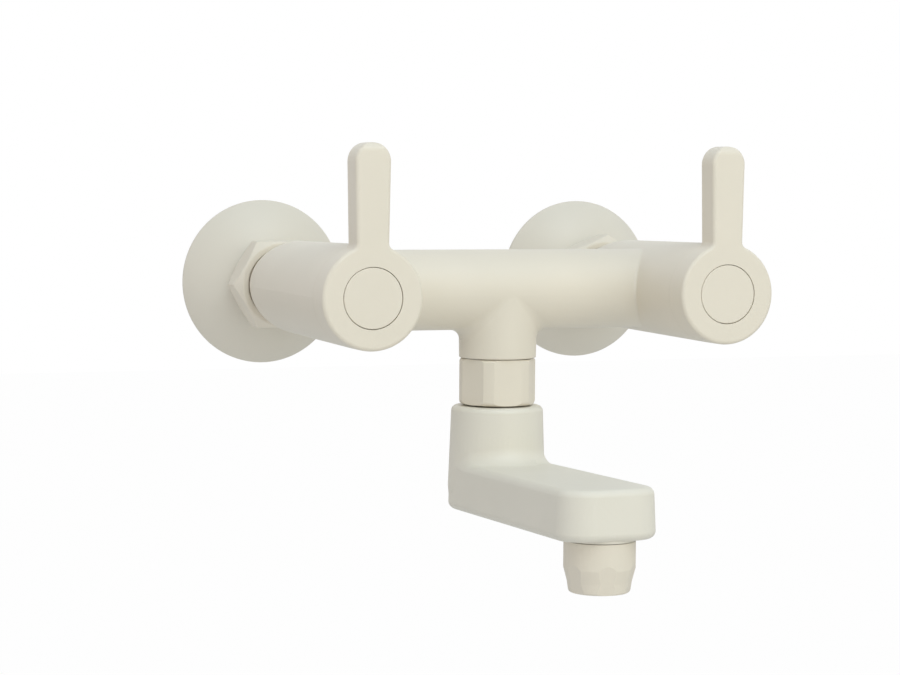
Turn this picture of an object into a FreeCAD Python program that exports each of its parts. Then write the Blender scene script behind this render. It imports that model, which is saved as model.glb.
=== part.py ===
import FreeCAD, Part
import math
import os

import Sketcher

# Wall mixer with two quarter-turn levers and a swivel spout, in millimetres.
# X runs along the wall, the wall is the plane Y = 0, the user stands at -Y and Z is up.
# The origin lies on the wall, midway between the two inlets. A depth is a distance from the wall,
# and a height is measured from the plane through the axes of both barrels.

doc = FreeCAD.newDocument("WallMixer")
sheet = doc.addObject("Spreadsheet::Sheet", "Sizes")
rows = []


class Value:
    """A number together with the sheet expression that it comes from."""

    def __init__(self, number, text):
        self.number = float(number)
        self.text = text

    def __add__(self, other):
        other = as_value(other)
        return Value(self.number + other.number, f"({self.text} + {other.text})")

    def __radd__(self, other):
        return as_value(other) + self

    def __sub__(self, other):
        other = as_value(other)
        return Value(self.number - other.number, f"({self.text} - {other.text})")

    def __rsub__(self, other):
        return as_value(other) - self

    def __mul__(self, other):
        other = as_value(other)
        return Value(self.number * other.number, f"{self.text} * {other.text}")

    def __rmul__(self, other):
        return as_value(other) * self

    def __truediv__(self, other):
        other = as_value(other)
        return Value(self.number / other.number, f"{self.text} / ({other.text})")

    def __neg__(self):
        return Value(-self.number, f"(-1 * {self.text})")


def as_value(item):
    """A Value as it is, and a plain number as a Value."""
    return item if isinstance(item, Value) else Value(item, repr(item))


def number(item):
    """The number of a Value, or a plain number."""
    return as_value(item).number


def sine(angle):
    """The sine of an angle in degrees."""
    angle = as_value(angle)
    return Value(math.sin(math.radians(angle.number)), f"sin({angle.text} * 1 deg)")


def cosine(angle):
    """The cosine of an angle in degrees."""
    angle = as_value(angle)
    return Value(math.cos(math.radians(angle.number)), f"cos({angle.text} * 1 deg)")


def tangent(angle):
    """The tangent of an angle in degrees."""
    angle = as_value(angle)
    return Value(math.tan(math.radians(angle.number)), f"tan({angle.text} * 1 deg)")


def size(name, value, meaning):
    """Keeps one driving dimension in a cell of its own, under its name."""
    rows.append(name)
    sheet.set(f"A{len(rows)}", name)
    sheet.set(f"B{len(rows)}", str(value))
    sheet.setAlias(f"B{len(rows)}", name)
    sheet.set(f"C{len(rows)}", meaning)
    return Value(value, "Sizes." + name)


# Layout of the whole mixer
inlet_spacing = size("inlet_spacing", 150.0, "distance between the two wall inlets")
tube_reach = size("tube_reach", 93.0, "depth of the cross tube and of the spout's swivel axis")
hub_front = size("hub_front", 154.2, "depth of the levers' front faces")

# Clearances
seat_gap = size("seat_gap", 0.05, "gap between stacked faces")
thread_gap = size("thread_gap", 0.05, "radial gap in a screwed joint")
running_gap = size("running_gap", 0.05, "radial gap round a turning shaft")
sealing_gap = size("sealing_gap", 0.03, "radial gap outside and inside a sealing ring")
free_gap = size("free_gap", 0.3, "radial gap where pieces only pass each other")

# Wall connectors
wall_thread = size("wall_thread", 10.48, "radius of the male thread that enters the wall, G 1/2")
wall_thread_length = size("wall_thread_length", 15.0, "length of that thread behind the wall's face")
union_thread = size("union_thread", 13.22, "radius of the thread that carries flange and nut, G 3/4")
connector_shoulder = size("connector_shoulder", 3.0, "depth at which the larger thread begins")
connector_bore = size("connector_bore", 6.5, "radius of the connector's waterway")
connector_key = size("connector_key", 13.0, "across flats of the connector's internal key")
connector_key_depth = size("connector_key_depth", 9.0, "length of the connector's internal key")
thread_chamfer = size("thread_chamfer", 0.9, "lead-in at the start of a thread")

# Wall flanges
flange_radius = size("flange_radius", 35.65, "outer radius of a wall flange")
flange_rim = size("flange_rim", 1.4, "height of the flange's straight rim")
flange_crown = size("flange_crown", 17.0, "depth of the flange's front edge")
flange_dome = size("flange_dome", 45.1, "radius of the flange's dome")
flange_wall = size("flange_wall", 2.0, "wall of the flange")

# Union nuts
nut_flats = size("nut_flats", 36.5, "across flats of a union nut")
nut_back = size("nut_back", 18.0, "depth of the union nut's back face")
nut_length = size("nut_length", 15.5, "length of the union nut")
nut_lip = size("nut_lip", 3.0, "thickness of the nut's inward lip")
nut_chamfer = size("nut_chamfer", 2.5, "height of the chamfer on the nut's corners")
nut_land = size("nut_land", 17.9, "radius of the nut's flat front ring")
left_nut_turn = size("left_nut_turn", -0.5, "turn of the left union nut about its axis, in degrees")
right_nut_turn = size("right_nut_turn", -22.0, "turn of the right union nut about its axis, in degrees")
nut_gap = size("nut_gap", 1.0, "gap between union nut and barrel")

# Union washers and screwed-in inlet nipples
union_washer = size("union_washer", 2.0, "thickness of the union washer")
union_washer_bore = size("union_washer_bore", 7.2, "radius of the hole in the union washer")
nipple_radius = size("nipple_radius", 10.7, "outer radius of the inlet nipple")
nipple_collar = size("nipple_collar", 2.0, "thickness of the nipple's collar")
nipple_bore = size("nipple_bore", 6.0, "radius of the nipple's waterway")
nipple_key = size("nipple_key", 12.0, "across flats of the nipple's internal key")
nipple_key_depth = size("nipple_key_depth", 10.0, "length of the nipple's internal key")
nipple_depth = size("nipple_depth", 14.0, "length of the nipple inside the barrel")

# Mixer body
barrel_back_radius = size("barrel_back_radius", 15.0, "radius of a barrel's back face")
barrel_swell = size("barrel_swell", 23.5, "length over which the barrel swells from its back face")
barrel_swell_radius = size("barrel_swell_radius", 19.3, "radius of a barrel where the swell ends")
barrel_bow = size("barrel_bow", 120.0, "radius of the swell's curve along the barrel")
barrel_front_radius = size("barrel_front_radius", 20.27, "radius of a barrel at its front, and of the hub")
edge_break = size("edge_break", 0.2, "broken edge beside a seam")
tube_radius = size("tube_radius", 16.54, "radius of the cross tube")
tube_bore = size("tube_bore", 10.5, "radius of the cross tube's waterway")
tube_blend = size("tube_blend", 1.2, "rounding between cross tube and barrels")
outlet_inset = size("outlet_inset", 0.1, "outlet's radius at the tube's axis, less than the tube's")
outlet_radius = size("outlet_radius", 15.95, "radius of the outlet branch at its lower end")
outlet_drop = size("outlet_drop", 28.2, "height of the outlet's lower edge below the axes")
outlet_round = size("outlet_round", 0.6, "rounding of the outlet's lower edge")
outlet_blend = size("outlet_blend", 5.0, "rounding between cross tube and outlet")
inlet_passage = size("inlet_passage", 6.5, "radius of the waterway from nipple to valve seat")

# Spout nut and swivel
spigot_radius = size("spigot_radius", 13.2, "radius of the threaded spigot below the outlet")
spigot_bore = size("spigot_bore", 9.6, "radius of the bore that the spout's tail turns in")
spout_nut_gap = size("spout_nut_gap", 0.3, "gap between outlet and spout nut")
spout_nut_length = size("spout_nut_length", 19.0, "length of the spout nut")
spout_nut_radius = size("spout_nut_radius", 15.95, "radius of the spout nut's rounded corners")
spout_nut_flats = size("spout_nut_flats", 29.6, "across flats of the spout nut")
spout_nut_chamfer = size("spout_nut_chamfer", 0.8, "chamfer of the spout nut's upper edge")
spout_nut_round = size("spout_nut_round", 1.8, "rounding of the spout nut's lower edge")
spout_nut_lip = size("spout_nut_lip", 4.0, "thickness of the spout nut's inward lip")
spout_nut_turn = size("spout_nut_turn", 4.3, "turn of the spout nut about its axis, in degrees")
split_ring = size("split_ring", 2.4, "thickness of the split ring that hangs the spout")
split_ring_grip = size("split_ring_grip", 1.33, "depth of the split ring's groove in the spout's tail")
split_ring_opening = size("split_ring_opening", 4.0, "opening of the split ring")

# Spout
spout_gap = size("spout_gap", 0.6, "gap between spout nut and spout")
post_radius = size("post_radius", 19.0, "radius of the spout's post at its top")
post_round = size("post_round", 2.3, "rounding of the post's upper edge")
spout_draft = size("spout_draft", 2.1, "draft of the spout's post and sides, in degrees")
post_height = size("post_height", 23.54, "top of the post to the arm's top face, at the swivel axis")
arm_height = size("arm_height", 19.5, "height of the arm")
arm_rise = size("arm_rise", 1.43, "rise of the arm towards its nose, in degrees")
nose_reach = size("nose_reach", 121.4, "swivel axis to the nose's front, at the arm's underside")
nose_round = size("nose_round", 12.0, "rounding of the nose's upright corners")
arm_round = size("arm_round", 3.0, "rounding of the arm's edges")
arm_inset = size("arm_inset", 0.35, "step from the post's side in to the arm's side")
post_tuck = size("post_tuck", 0.8, "how far the post's foot draws in inside the arm")
arm_blend = size("arm_blend", 6.5, "hollow rounding between post and arm")
blend_shift = size("blend_shift", 8.0, "swivel axis to the axis of that rounding")
post_bore = size("post_bore", 6.0, "radius of the waterway down the post")
arm_bore = size("arm_bore", 4.5, "radius of the waterway along the arm")
arm_bore_drop = size("arm_bore_drop", 6.0, "drop of the arm's waterway below the arm's top")
tail_length = size("tail_length", 24.8, "length of the spout's tail above the post")
tail_ring_inset = size("tail_ring_inset", 4.0, "top of the tail to the upper sealing ring")
tail_ring_pitch = size("tail_ring_pitch", 5.5, "distance between the tail's sealing rings")
tail_ring_section = size("tail_ring_section", 0.95, "section radius of the tail's sealing rings")

# Nozzle and aerator
nozzle_inset = size("nozzle_inset", 15.8, "nose's front back to the nozzle's axis")
nozzle_radius = size("nozzle_radius", 13.6, "radius of the nozzle's collar")
nozzle_collar = size("nozzle_collar", 10.2, "height of the nozzle's collar")
nozzle_waist = size("nozzle_waist", 12.25, "radius of the nozzle below its shoulder")
nozzle_neck = size("nozzle_neck", 5.0, "collar's lower end to the nozzle's waist")
nozzle_end_radius = size("nozzle_end_radius", 11.6, "radius of the nozzle at its lower end")
nozzle_foot = size("nozzle_foot", 4.3, "nozzle's waist to its lower end")
nozzle_round = size("nozzle_round", 1.0, "rounding of the nozzle's lower edge")
nozzle_flats = size("nozzle_flats", 22.0, "across flats of the nozzle's wrench flats at its lower end")
nozzle_flat_lean = size("nozzle_flat_lean", 13.0, "lean of the wrench flats, in degrees")
nozzle_turn = size("nozzle_turn", 10.0, "turn of the nozzle about its axis, in degrees")
nozzle_boss_radius = size("nozzle_boss_radius", 13.8, "radius of the round boss under the arm")
nozzle_boss = size("nozzle_boss", 0.45, "height of the boss under the arm, at the nozzle's axis")
nozzle_seam = size("nozzle_seam", 0.3, "open seam between boss and nozzle")
nozzle_thread = size("nozzle_thread", 12.0, "radius of the thread that holds the nozzle, M24")
nozzle_thread_length = size("nozzle_thread_length", 6.2, "length of that thread above the collar")
nozzle_washer = size("nozzle_washer", 0.9, "thickness of the nozzle's washer")
nozzle_bore = size("nozzle_bore", 8.0, "radius of the waterway through the nozzle")
nozzle_chamber = size("nozzle_chamber", 5.5, "height of the chamber above the nozzle")
aerator_radius = size("aerator_radius", 9.2, "radius of the aerator's bore in the nozzle")
aerator_length = size("aerator_length", 8.0, "length of the aerator cage")
aerator_recess = size("aerator_recess", 0.8, "mouth of the nozzle to the aerator cage")
aerator_wall = size("aerator_wall", 1.2, "wall of the aerator cage")
aerator_lip = size("aerator_lip", 1.0, "width of the cage's lip under the screen")
aerator_lip_height = size("aerator_lip_height", 0.5, "thickness of that lip")
screen_thickness = size("screen_thickness", 0.7, "thickness of the aerator screen")
screen_hole = size("screen_hole", 1.9, "across flats of the screen's holes")
screen_inner_circle = size("screen_inner_circle", 2.6, "radius of the screen's inner circle of holes")
screen_outer_circle = size("screen_outer_circle", 5.1, "radius of the screen's outer circle of holes")

# Valve seat and headwork in each barrel
seat_offset = size("seat_offset", 13.0, "cross tube's axis back to the valve seat")
chamber_radius = size("chamber_radius", 12.05, "radius of the valve chamber")
head_thread = size("head_thread", 13.0, "radius of the headwork's thread")
head_thread_length = size("head_thread_length", 12.5, "length of the headwork's thread")
mouth_radius = size("mouth_radius", 16.6, "radius of the barrel's open front")
mouth_depth = size("mouth_depth", 20.5, "depth of the barrel's open front")
head_lift = size("head_lift", 1.5, "valve seat to the headwork's back end")
disc_bore = size("disc_bore", 9.0, "radius of the headwork's disc chamber")
seal_length = size("seal_length", 3.9, "length of the seat seal")
seal_bore = size("seal_bore", 6.9, "radius of the hole in the seat seal")
disc_thickness = size("disc_thickness", 3.0, "thickness of a ceramic disc")
disc_port_inner = size("disc_port_inner", 2.2, "inner radius of a ceramic disc's ports")
disc_port_outer = size("disc_port_outer", 6.6, "outer radius of a ceramic disc's ports")
disc_port_angle = size("disc_port_angle", 78.0, "width of a ceramic disc's ports, in degrees")
drive_slot = size("drive_slot", 3.4, "width of the slot in the moving disc")
drive_slot_depth = size("drive_slot_depth", 1.5, "depth of that slot")
drive_play = size("drive_play", 0.1, "play between slot and tang, each side")
drive_room = size("drive_room", 2.9, "free height between moving disc and spindle plate")
drive_plate = size("drive_plate", 1.5, "thickness of the spindle's plate")
thrust_washer = size("thrust_washer", 0.8, "thickness of the thrust washer")
window_width = size("window_width", 9.0, "width of the headwork's side windows")
bonnet_ring = size("bonnet_ring", 1.0, "thickness of the ring under the headwork's flange")
head_flange = size("head_flange", 1.5, "thickness of the headwork's flange")
head_flange_radius = size("head_flange_radius", 15.8, "radius of the headwork's flange")
head_flats = size("head_flats", 24.0, "across flats of the headwork's hexagon")
head_hexagon = size("head_hexagon", 4.0, "thickness of the headwork's hexagon")
neck_radius = size("neck_radius", 8.0, "radius of the headwork's neck")
neck_length = size("neck_length", 2.3, "length of the neck beyond the hexagon")
crown_bore = size("crown_bore", 6.6, "inner radius of the half ring that stops the lever")
crown_height = size("crown_height", 3.5, "height of that half ring")

# Spindle, its rings and its stop
spindle_radius = size("spindle_radius", 5.0, "radius of the spindle's shaft")
spindle_ring_section = size("spindle_ring_section", 0.6, "section radius of the spindle's sealing ring")
spindle_ring_inset = size("spindle_ring_inset", 8.0, "headwork's shoulder to the sealing ring")
clip_thickness = size("clip_thickness", 0.9, "thickness of the spindle's clip")
clip_radius = size("clip_radius", 6.3, "outer radius of the spindle's clip")
clip_grip = size("clip_grip", 0.8, "depth of the clip's groove")
clip_lift = size("clip_lift", 0.15, "neck to the clip's groove")
clip_opening = size("clip_opening", 3.0, "opening of the clip")
clip_land = size("clip_land", 0.7, "clip's groove to the spindle's shoulder")
spline_radius = size("spline_radius", 4.0, "outer radius of the spindle's splines")
spline_root = size("spline_root", 3.6, "root radius of the spindle's splines")
spline_teeth = size("spline_teeth", 24, "number of splines")
spline_gap = size("spline_gap", 0.07, "gap between male and female splines")
stop_thickness = size("stop_thickness", 1.5, "thickness of the stop ring")
stop_radius = size("stop_radius", 6.2, "radius of the stop ring")
stop_lug = size("stop_lug", 7.9, "radius of the stop ring's lug")
stop_play = size("stop_play", 1.0, "play of the lug at each end of the quarter turn, in degrees")
spindle_tap = size("spindle_tap", 2.0, "radius of the tapped hole in the spindle")
spindle_tap_depth = size("spindle_tap_depth", 9.0, "depth of the tapped hole")

# Levers
hub_depth = size("hub_depth", 12.0, "depth of a lever's hub")
hub_gap = size("hub_gap", 0.2, "gap between hub and barrel")
hub_round = size("hub_round", 1.5, "rounding of the hub's and lever's front edges")
hub_lip = size("hub_lip", 1.7, "length of the hub's lip inside the barrel")
hub_lip_wall = size("hub_lip_wall", 2.5, "wall of that lip")
hub_floor = size("hub_floor", 2.2, "thickness of the hub's web")
boss_radius = size("boss_radius", 7.0, "radius of the hub's inner boss")
boss_gap = size("boss_gap", 0.4, "stop ring to the hub's boss")
socket_play = size("socket_play", 0.5, "spindle's end to the bottom of the socket")
spindle_inset = size("spindle_inset", 1.0, "hub's web to the spindle's end")
lever_depth = size("lever_depth", 11.0, "depth of the lever behind the hub's front face")
lever_foot_width = size("lever_foot_width", 13.0, "width of the lever at its foot")
lever_tip_width = size("lever_tip_width", 14.4, "width of the lever at its tip")
lever_height = size("lever_height", 59.2, "height of the lever's tip above the hub's axis")
lever_tip_round = size("lever_tip_round", 3.4, "rounding of the lever's upper front edge")
lever_root_round = size("lever_root_round", 2.6, "rounding between lever and hub")
lever_back_round = size("lever_back_round", 0.6, "rounding of the lever's back edges")
cap_radius = size("cap_radius", 11.76, "radius of the cover cap")
cap_gap = size("cap_gap", 0.24, "gap round the cover cap")
cap_depth = size("cap_depth", 5.0, "depth of the cap's recess in the hub")
cap_face = size("cap_face", 2.2, "thickness of the cap's face")
cap_wall = size("cap_wall", 1.5, "wall of the cap's skirt")
cap_round = size("cap_round", 0.35, "rounding of the cap's edge")
screw_head = size("screw_head", 3.8, "radius of the lever screw's head")
screw_head_height = size("screw_head_height", 2.2, "height of the lever screw's head")
screw_length = size("screw_length", 11.0, "length of the lever screw's shank")
screw_key = size("screw_key", 3.0, "across flats of the screw's socket")
screw_key_depth = size("screw_key_depth", 1.5, "depth of the screw's socket")
doc.recompute()


def new_body(label, across=0, depth=0, axis=None, turn=0):
    """An empty body, placed by its distance across the wall and its depth, turned about an axis."""
    body = doc.addObject("PartDesign::Body", label)
    body.Label = label
    if axis is not None:
        body.Placement = FreeCAD.Placement(FreeCAD.Vector(), FreeCAD.Rotation(axis, turn.number))
        body.setExpression("Placement.Rotation.Angle", turn.text)
    body.setExpression("Placement.Base.x", as_value(across).text)
    body.setExpression("Placement.Base.y", (-as_value(depth)).text)
    return body


def origin_plane(body, role):
    """The body's own origin plane or axis of that role."""
    return next(item for item in body.Origin.OriginFeatures if item.Role == role)


def new_sketch(body, role, offset=0):
    """An empty sketch on one of the body's origin planes, moved along the plane's normal."""
    sketch = body.newObject("Sketcher::SketchObject", body.Name + "_sketch")
    sketch.AttachmentSupport = [(origin_plane(body, role), "")]
    sketch.MapMode = "FlatFace"
    sketch.setExpression("AttachmentOffset.Base.z", as_value(offset).text)
    return sketch


def measure(sketch, kind, *where, by):
    """A dimension of a sketch, bound to the sheet where its value comes from a size."""
    value = as_value(by)
    index = sketch.addConstraint(Sketcher.Constraint(kind, *where, value.number))
    if "Sizes." in value.text:
        sketch.setExpression(f"Constraints[{index}]", value.text)


def place(sketch, geometry, end, across, up):
    """Fixes a point of a sketch by its distances from the sketch's origin."""
    for kind, axis, distance in (("DistanceX", -2, across), ("DistanceY", -1, up)):
        if as_value(distance).text == "0":
            sketch.addConstraint(Sketcher.Constraint("PointOnObject", geometry, end, axis))
        else:
            measure(sketch, kind, -1, 1, geometry, end, by=distance)


def add_arc(sketch, centre, first, last, leftwards):
    """An arc from first to last; returns it with its ends in the order of travel."""
    begin, end = (first, last) if leftwards else (last, first)
    angles = [math.atan2(point.y - centre.y, point.x - centre.x) for point in (begin, end)]
    whole = Part.Circle(centre, FreeCAD.Vector(0, 0, 1), centre.distanceToPoint(first))
    arc = sketch.addGeometry(Part.ArcOfCircle(whole, *angles), False)
    return (arc, 1, 2) if leftwards else (arc, 2, 1)


def bowed_centre(first, last, radius, leftwards):
    """The centre of an arc of that radius that turns left or right from first to last."""
    chord = last - first
    side = FreeCAD.Vector(-chord.y, chord.x, 0).normalize()
    rise = math.sqrt(max(radius ** 2 - (chord.Length / 2) ** 2, 0))
    return (first + last) * 0.5 + side * (rise if leftwards else -rise)


def add_sides(sketch, entries, exits, bows):
    """The sides of an outline, straight or bowed, each with its ends in the order of travel."""
    sides = []
    for index, first in enumerate(exits):
        last = entries[(index + 1) % len(exits)]
        if index not in bows:
            sides.append((sketch.addGeometry(Part.LineSegment(first, last), False), 1, 2))
            continue
        radius, leftwards = bows[index]
        centre = bowed_centre(first, last, number(radius), leftwards)
        sides.append(add_arc(sketch, centre, first, last, leftwards))
    return sides


def outline(sketch, corners, bows=None):
    """A closed outline. A corner is (across, up) or (across, up, rounding).

    bows names the sides that are arcs: {side: (radius, turns left)}.
    """
    bows = bows or {}
    count = len(corners)
    points = [FreeCAD.Vector(number(corner[0]), number(corner[1]), 0) for corner in corners]
    entries = []
    exits = []
    for index, corner in enumerate(corners):
        before = (points[index] - points[index - 1]).normalize()
        after = (points[(index + 1) % count] - points[index]).normalize()
        rounding = number(corner[2]) if len(corner) == 3 else 0
        setback = rounding * math.tan(before.getAngle(after) / 2)
        entries.append(points[index] - before * setback)
        exits.append(points[index] + after * setback)
    sides = add_sides(sketch, entries, exits, bows)
    for index, corner in enumerate(corners):
        side_in, side_out = sides[index - 1], sides[index]
        if len(corner) == 2:
            ends = side_in[0], side_in[2], side_out[0], side_out[1]
            sketch.addConstraint(Sketcher.Constraint("Coincident", *ends))
            place(sketch, side_out[0], side_out[1], *corner)
            continue
        before = points[index] - points[index - 1]
        after = points[(index + 1) % count] - points[index]
        leftwards = before.cross(after).z > 0
        normal = FreeCAD.Vector(-before.y, before.x, 0).normalize() * number(corner[2])
        centre = entries[index] + (normal if leftwards else normal * -1)
        arc, start, stop = add_arc(sketch, centre, entries[index], exits[index], leftwards)
        mark = sketch.addGeometry(Part.Point(points[index]), True)
        place(sketch, mark, 1, *corner[:2])
        sketch.addConstraint(Sketcher.Constraint("PointOnObject", mark, 1, side_in[0]))
        sketch.addConstraint(Sketcher.Constraint("PointOnObject", mark, 1, side_out[0]))
        sketch.addConstraint(Sketcher.Constraint("Tangent", side_in[0], side_in[2], arc, start))
        sketch.addConstraint(Sketcher.Constraint("Tangent", arc, stop, side_out[0], side_out[1]))
        measure(sketch, "Radius", arc, by=corner[2])
    for index, (radius, leftwards) in bows.items():
        measure(sketch, "Radius", sides[index][0], by=radius)


def circle(sketch, across, up, radius):
    """A full circle in a sketch."""
    centre = FreeCAD.Vector(number(across), number(up), 0)
    ring = sketch.addGeometry(Part.Circle(centre, FreeCAD.Vector(0, 0, 1), number(radius)), False)
    place(sketch, ring, 3, across, up)
    measure(sketch, "Radius", ring, by=radius)


def hexagon(sketch, flats, across=0):
    """A hexagon with two of its corners on the sketch's horizontal axis."""
    reach = flats / math.sqrt(3)
    corners = [(across + reach, 0)]
    for angle in (60, 120):
        corners.append((across + reach * cosine(angle), reach * sine(angle)))
    corners.append((across - reach, 0))
    for angle in (240, 300):
        corners.append((across + reach * cosine(angle), reach * sine(angle)))
    outline(sketch, corners)


def axis_line(sketch, across):
    """An upright construction line to turn a profile about."""
    start = FreeCAD.Vector(number(across), 0, 0)
    line = sketch.addGeometry(Part.LineSegment(start, start + FreeCAD.Vector(0, 10, 0)), True)
    place(sketch, line, 1, across, 0)
    sketch.addConstraint(Sketcher.Constraint("Vertical", line))
    sketch.addConstraint(Sketcher.Constraint("DistanceY", line, 1, line, 2, 10))


def finish(body, feature, cut):
    """Recomputes a new feature and makes sure that it added or took away material."""
    before = feature.BaseFeature.Shape.Volume if feature.BaseFeature else 0
    doc.recompute()
    after = feature.Shape.Volume
    if (after >= before) if cut else (after <= before):
        raise ValueError(f"{feature.Name} of {body.Label} changed nothing: {before:.3f} to {after:.3f}")
    return feature


def turned(body, corners, bows=None, cut=False, upright=False, centre=0, angle=360):
    """A turned form from (radius, depth) corners, or (radius, height) where it stands upright.

    centre is how far the turning axis lies from the body's own, across or, if upright, in depth.
    """
    sketch = new_sketch(body, "YZ_Plane" if upright else "XY_Plane")
    shift = -as_value(centre) if upright else as_value(centre)
    moved = shift.number != 0
    if moved:
        axis_line(sketch, shift)
    points = []
    for radius, level, *rounding in corners:
        reach = shift + radius if moved else radius
        points.append((reach, level if upright or as_value(level).text == "0" else -level, *rounding))
    outline(sketch, points, bows)
    kind = "Groove" if cut else "Revolution"
    feature = body.newObject("PartDesign::" + kind, f"{body.Name}_{kind.lower()}")
    feature.Profile = sketch
    feature.ReferenceAxis = (sketch, ["Axis0" if moved else "V_Axis"])
    feature.Angle = angle
    return finish(body, feature, cut)


def slab(body, role, low, high, draw, cut=False, taper=None, tilt=None):
    """A straight form or cut between two offsets along a plane's normal.

    The normals are up for XY_Plane, away from the wall for XZ_Plane and +X for YZ_Plane.
    A tilt turns the sketch about the X axis, so that it rises away from the wall.
    """
    sketch = new_sketch(body, role, high if cut else low)
    if tilt is not None:
        turn = FreeCAD.Rotation(FreeCAD.Vector(-1, 0, 0), tilt.number)
        sketch.AttachmentOffset = FreeCAD.Placement(FreeCAD.Vector(0, 0, number(low)), turn)
        sketch.setExpression("AttachmentOffset.Rotation.Angle", tilt.text)
    draw(sketch)
    kind = "Pocket" if cut else "Pad"
    feature = body.newObject("PartDesign::" + kind, f"{body.Name}_{kind.lower()}")
    feature.Profile = sketch
    feature.setExpression("Length", (high - low).text)
    if taper is not None:
        feature.setExpression("TaperAngle", taper.text)
    return finish(body, feature, cut)


def rounded(body, radius, chosen):
    """Fillets the edges that the test chooses."""
    base = body.Tip
    edges = [f"Edge{index}" for index, edge in enumerate(base.Shape.Edges, 1) if chosen(edge)]
    feature = body.newObject("PartDesign::Fillet", body.Name + "_fillet")
    feature.Base = (base, edges)
    feature.setExpression("Radius", radius.text)
    doc.recompute()
    if not edges or "Invalid" in feature.State:
        raise ValueError(f"{feature.Name} of {body.Label} failed on {len(edges)} edges")
    return feature


def repeated(body, feature, count, axis):
    """A feature repeated round one of the body's own axes."""
    pattern = body.newObject("PartDesign::PolarPattern", body.Name + "_pattern")
    pattern.Originals = [feature]
    pattern.Axis = (origin_plane(body, axis), [""])
    pattern.setExpression("Occurrences", as_value(count).text)
    body.Tip = pattern
    doc.recompute()
    return pattern


def mirrored(body, feature):
    """A feature mirrored to the other side of the mixer."""
    mirror = body.newObject("PartDesign::Mirrored", body.Name + "_mirror")
    mirror.Originals = [feature]
    mirror.MirrorPlane = (origin_plane(body, "YZ_Plane"), [""])
    body.Tip = mirror
    doc.recompute()
    return mirror


# Depths and heights that several pieces share
left_side = -inlet_spacing / 2
right_side = inlet_spacing / 2
nut_front = nut_back + nut_length
nut_lip_back = nut_back + nut_length - nut_lip
collar_front = nut_lip_back - seat_gap
collar_back = collar_front - nipple_collar
washer_front = collar_back - seat_gap
washer_back = washer_front - union_washer
connector_front = washer_back - seat_gap
barrel_back = nut_front + nut_gap
nipple_front = barrel_back + nipple_depth
barrel_front = hub_front - hub_depth - hub_gap
barrel_swell_front = barrel_back + barrel_swell
outlet_waist = tube_radius - outlet_inset
hub_back = hub_front - hub_depth
valve_seat = tube_reach - seat_offset
head_seat = barrel_front - mouth_depth
head_thread_back = head_seat - head_thread_length

seal_back = valve_seat + seat_gap
seal_front = seal_back + seal_length
fixed_back = seal_front + seat_gap
moving_back = fixed_back + disc_thickness + seat_gap
moving_front = moving_back + disc_thickness
tang_back = moving_front - drive_slot_depth + seat_gap
plate_back = moving_front + drive_room
plate_front = plate_back + drive_plate
thrust_back = plate_front + seat_gap
thrust_front = thrust_back + thrust_washer
head_shoulder = thrust_front + seat_gap
head_back = valve_seat + head_lift
bonnet_back = head_seat + seat_gap
head_flange_back = bonnet_back + bonnet_ring + seat_gap
head_flange_front = head_flange_back + head_flange
head_hex_front = head_flange_front + head_hexagon
neck_front = head_hex_front + neck_length
crown_front = neck_front + crown_height
clip_groove_back = neck_front + clip_lift
clip_groove_front = clip_groove_back + clip_thickness + 2 * seat_gap
spindle_shoulder = clip_groove_front + clip_land
stop_back = spindle_shoulder + seat_gap
stop_front = stop_back + stop_thickness
boss_back = stop_front + boss_gap
web_front = hub_front - cap_depth
web_back = web_front - hub_floor
spindle_front = web_back - spindle_inset

shaft_bore = spindle_radius + running_gap
lip_radius = mouth_radius - free_gap
ring_groove_back = head_shoulder + spindle_ring_inset

spigot_bottom = outlet_drop + spout_nut_gap + spout_nut_length - spout_nut_lip - split_ring - free_gap - seat_gap
spout_nut_top = outlet_drop + spout_nut_gap
spout_nut_bottom = spout_nut_top + spout_nut_length
spout_lip_top = spout_nut_bottom - spout_nut_lip
split_ring_bottom = spout_lip_top - seat_gap
split_ring_top = split_ring_bottom - split_ring
post_top = spout_nut_bottom + spout_gap
tail_radius = spigot_bore - running_gap
tail_top = post_top - tail_length
split_groove = tail_radius - split_ring_grip
arm_top = post_top + post_height
arm_bottom = arm_top + arm_height
post_end = arm_bottom - arm_round
post_merge = post_end - arm_height / 3
draft_slope = tangent(spout_draft)
foot_radius = post_radius + draft_slope * (arm_bottom - post_top)
nozzle_reach = nose_reach - nozzle_inset
nozzle_boss_drop = arm_bottom - nozzle_reach * tangent(arm_rise) + nozzle_boss
nozzle_collar_top = nozzle_boss_drop + nozzle_seam
nozzle_shoulder = nozzle_collar_top + nozzle_collar
nozzle_waist_drop = nozzle_shoulder + nozzle_neck
nozzle_drop = nozzle_waist_drop + nozzle_foot
nozzle_thread_top = nozzle_collar_top - nozzle_thread_length
socket_top = nozzle_thread_top - 2 * seat_gap - nozzle_washer
cage_bottom = nozzle_drop - aerator_recess
cage_top = cage_bottom - aerator_length


# Wall connectors: threaded tubes that enter the wall and carry flange and union nut
def make_wall_connector(label, side):
    body = new_body(label, side)
    turned(body, [
        (connector_bore, -wall_thread_length),
        (wall_thread - thread_chamfer, -wall_thread_length),
        (wall_thread, thread_chamfer - wall_thread_length),
        (wall_thread, connector_shoulder),
        (union_thread, connector_shoulder),
        (union_thread, connector_front - thread_chamfer),
        (union_thread - thread_chamfer, connector_front),
        (connector_bore, connector_front),
    ])
    key_back = connector_front - connector_key_depth
    slab(body, "XZ_Plane", key_back, connector_front, lambda sketch: hexagon(sketch, connector_key), cut=True)


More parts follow.
